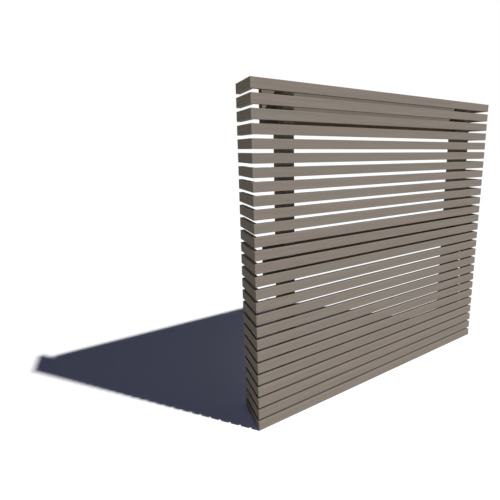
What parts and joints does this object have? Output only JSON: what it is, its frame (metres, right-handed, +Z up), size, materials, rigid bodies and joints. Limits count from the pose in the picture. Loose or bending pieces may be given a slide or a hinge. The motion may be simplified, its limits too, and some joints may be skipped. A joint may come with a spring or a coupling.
{
  "type": "garden privacy screen",
  "caption": "Free-standing timber privacy screen: horizontal slats with short mitred returns on posts and rails, for shielding a seat or terrace.",
  "frame": {"origin": "bottom centre of the bounding box, on the surface that the screen stands on", "axes": "+X along the slats to the right seen from the front, +Y from the slatted front to the back, +Z up"},
  "size_m": [1.82, 0.2, 1.804],
  "materials": {
    "slat_timber": "taupe grey opaque stain, matt, fine grain",
    "frame_timber": "taupe grey opaque stain, matt, sawn",
    "steel": "galvanised, dull"
  },
  "bodies": {
    "root": {"slat_course_01": "slat_timber", "slat_course_02": "slat_timber", "slat_course_03": "slat_timber", "slat_course_04": "slat_timber", "slat_course_05": "slat_timber", "slat_course_06": "slat_timber", "slat_course_07": "slat_timber", "slat_course_08": "slat_timber", "slat_course_09": "slat_timber", "slat_course_10": "slat_timber", "slat_course_11": "slat_timber", "slat_course_12": "slat_timber", "slat_course_13": "slat_timber", "slat_course_14": "slat_timber", "slat_course_15": "slat_timber", "slat_course_16": "slat_timber", "slat_course_17": "slat_timber", "slat_course_18": "slat_timber", "slat_course_19": "slat_timber", "slat_course_20": "slat_timber", "slat_course_21": "slat_timber", "slat_course_22": "slat_timber", "slat_course_23": "slat_timber", "slat_course_24": "slat_timber", "slat_course_25": "slat_timber", "slat_course_26": "slat_timber", "slat_course_27": "slat_timber", "post_left": "frame_timber", "post_right": "frame_timber", "rail_bottom": "frame_timber", "rail_middle": "frame_timber", "rail_top": "frame_timber", "coach_screw_bottom_left_lower": "steel", "coach_screw_bottom_left_upper": "steel", "coach_screw_bottom_right_lower": "steel", "coach_screw_bottom_right_upper": "steel", "coach_screw_middle_left_lower": "steel", "coach_screw_middle_left_upper": "steel", "coach_screw_middle_right_lower": "steel", "coach_screw_middle_right_upper": "steel", "coach_screw_top_left_lower": "steel", "coach_screw_top_left_upper": "steel", "coach_screw_top_right_lower": "steel", "coach_screw_top_right_upper": "steel", "washer_bottom_left_lower": "steel", "washer_bottom_left_upper": "steel", "washer_bottom_right_lower": "steel", "washer_bottom_right_upper": "steel", "washer_middle_left_lower": "steel", "washer_middle_left_upper": "steel", "washer_middle_right_lower": "steel", "washer_middle_right_upper": "steel", "washer_top_left_lower": "steel", "washer_top_left_upper": "steel", "washer_top_right_lower": "steel", "washer_top_right_upper": "steel"}
  },
  "joints": []
}
